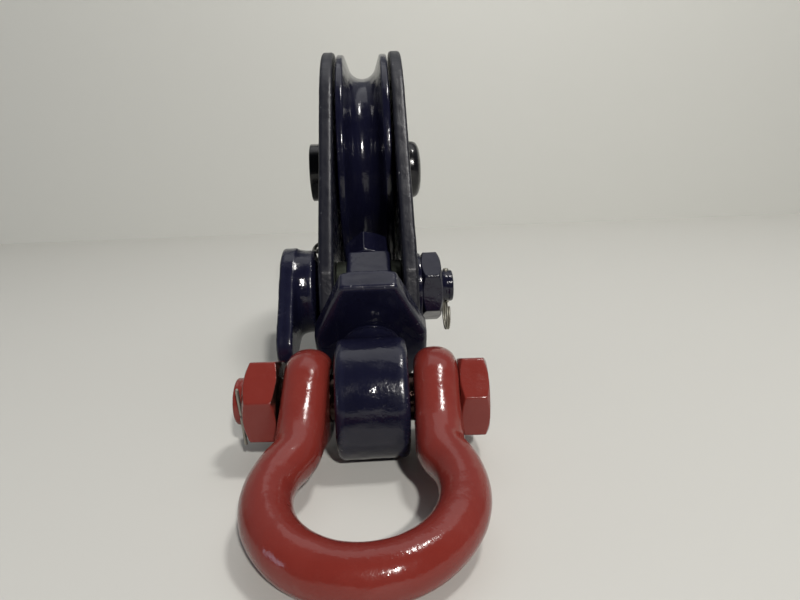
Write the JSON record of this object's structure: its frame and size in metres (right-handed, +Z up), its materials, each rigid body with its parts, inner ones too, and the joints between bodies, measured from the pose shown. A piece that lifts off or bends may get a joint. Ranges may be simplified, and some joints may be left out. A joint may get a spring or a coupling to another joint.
{
  "type": "snatch block",
  "caption": "Rope snatch block with a grooved sheave between two tapered side plates, a swing-open plate, a swivel eye and a bolt-type anchor shackle.",
  "frame": {"origin": "middle of the footprint on the floor", "axes": "+Z up; +X along the centre pin and the shackle bolt, towards the trunnion nut; +Y from the shackle towards the sheave"},
  "size_m": [0.1494, 0.4704, 0.26],
  "materials": {
    "navy_enamel": "gloss navy enamel on steel, brushed and run in places",
    "black_enamel": "gloss black enamel",
    "red_enamel": "gloss red enamel on a forging",
    "zinc_plate": "dull zinc plate",
    "bearing_bronze": "turned bronze, oiled"
  },
  "bodies": {
    "block_frame": {"fixed_side_plate": "navy_enamel", "centre_pin": "black_enamel", "centre_pin_dome_nut": "black_enamel", "dome_nut_lock_pin": "zinc_plate", "grease_nipple": "zinc_plate", "thrust_washer_right": "bearing_bronze", "thrust_washer_left": "bearing_bronze"},
    "sheave": {"sheave": "navy_enamel", "sheave_bush": "bearing_bronze"},
    "swing_plate": {"swing_side_plate": "navy_enamel", "plate_keeper": "zinc_plate"},
    "yoke": {"yoke": "navy_enamel", "trunnion_spacer_right": "navy_enamel", "trunnion_spacer_left": "navy_enamel", "trunnion_washer": "navy_enamel", "trunnion_nut": "navy_enamel", "trunnion_clip": "zinc_plate"},
    "eye": {"swivel_eye": "navy_enamel", "swivel_collar_washer": "zinc_plate", "swivel_nut_washer": "zinc_plate", "swivel_nut": "navy_enamel", "swivel_nut_pin": "zinc_plate"},
    "shackle": {"shackle_bow": "red_enamel", "shackle_bolt": "red_enamel", "shackle_nut": "red_enamel", "shackle_cotter": "zinc_plate"}
  },
  "joints": [
    {"name": "sheave_spin", "type": "hinge", "parent": "block_frame", "child": "sheave", "pos_m": [0.00647, 0.13368, 0.1585], "axis": [1, 0, 0], "continuous": true},
    {"name": "side_plate_swing", "type": "hinge", "parent": "block_frame", "child": "swing_plate", "pos_m": [0.00647, 0.13368, 0.1585], "axis": [1, 0, 0], "range_deg": [-100, 0]},
    {"name": "yoke_tilt", "type": "hinge", "parent": "block_frame", "child": "yoke", "pos_m": [0.00647, -0.01068, 0.08174], "axis": [1, 0, 0], "range_deg": [-45, 45]},
    {"name": "eye_swivel", "type": "hinge", "parent": "yoke", "child": "eye", "pos_m": [0.00647, -0.09765, 0.0355], "axis": [0, 0.8829, 0.4695], "continuous": true},
    {"name": "shackle_swing", "type": "hinge", "parent": "eye", "child": "shackle", "pos_m": [0.00647, -0.09765, 0.0355], "axis": [0.9986, -0.0523, 0], "range_deg": [-92.34, 127.66]}
  ]
}
